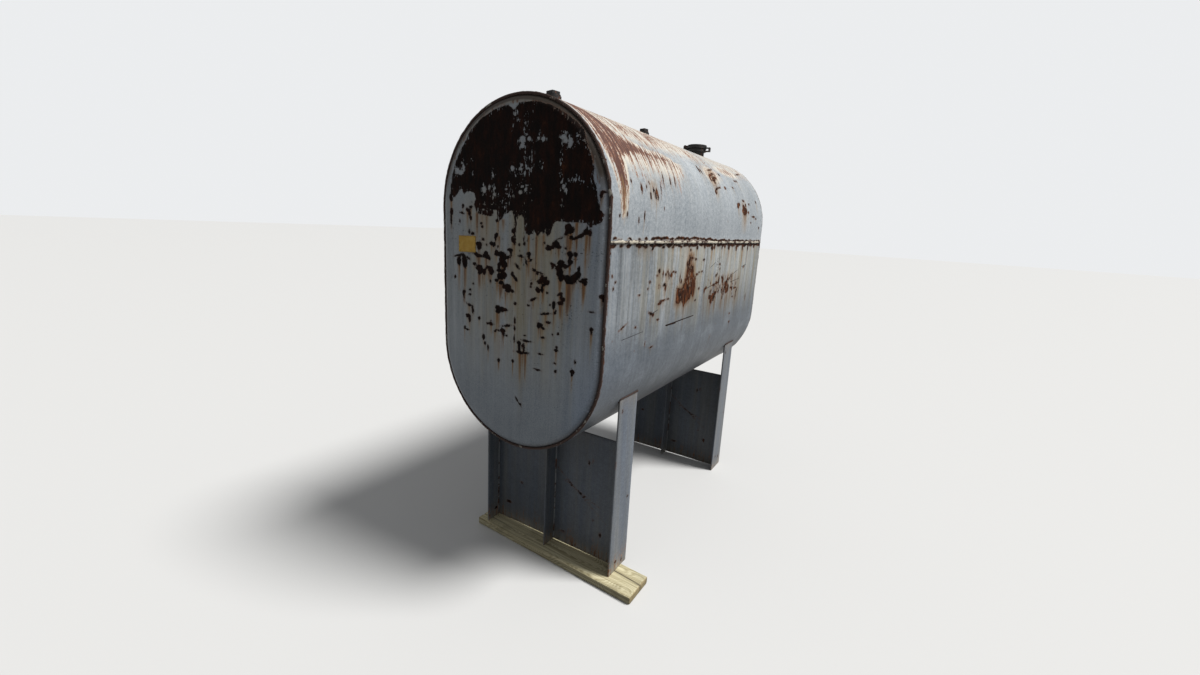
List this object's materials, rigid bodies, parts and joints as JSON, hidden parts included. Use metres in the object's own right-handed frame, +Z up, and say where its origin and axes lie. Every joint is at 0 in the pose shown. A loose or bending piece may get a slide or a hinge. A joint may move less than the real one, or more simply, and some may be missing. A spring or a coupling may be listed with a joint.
{
  "type": "obround steel fuel storage tank on plate legs",
  "caption": "Weathered grey steel fuel tank, upright obround section lying on plate legs, with plugged couplings and a hinged, lockable fill cap on top.",
  "frame": {"origin": "on the floor, at the middle of the whole outline's width and length", "axes": "+Z up, +Y along the tank from its front head to its rear head, +X towards the right side seen from the front"},
  "size_m": [1.035, 2.17, 2.3237],
  "materials": {
    "tank_paint": "weathered, rust scabs",
    "support_paint": "weathered satin",
    "weld": "rusty",
    "timber": "weathered sawn",
    "black_fitting": "matte",
    "pin_steel": "dull"
  },
  "bodies": {
    "tank": {"shell_upper": "tank_paint", "shell_lower": "tank_paint", "seam_bead_right": "tank_paint", "seam_bead_left": "tank_paint", "front_head": "tank_paint", "rear_head": "tank_paint", "front_head_weld": "weld", "rear_head_weld": "weld", "front_leg_right": "support_paint", "front_leg_left": "support_paint", "rear_leg_right": "support_paint", "rear_leg_left": "support_paint", "front_web": "support_paint", "rear_web": "support_paint", "front_web_stiffener": "support_paint", "rear_web_stiffener": "support_paint", "front_web_welds": "weld", "rear_web_welds": "weld", "front_leg_welds": "weld", "rear_leg_welds": "weld", "front_timber": "timber", "front_coupling": "black_fitting", "front_plug": "black_fitting", "middle_coupling": "black_fitting", "middle_plug": "black_fitting", "fill_neck": "black_fitting", "fitting_welds": "weld", "fill_cap_collar": "black_fitting", "lid_hinge_pin": "pin_steel"},
    "lid": {"fill_lid": "black_fitting"}
  },
  "joints": [
    {"name": "fill_lid_hinge", "type": "hinge", "parent": "tank", "child": "lid", "pos_m": [-0.1335, 0.818, 2.3127], "axis": [0, -1, 0], "range_deg": [0, 105]}
  ]
}
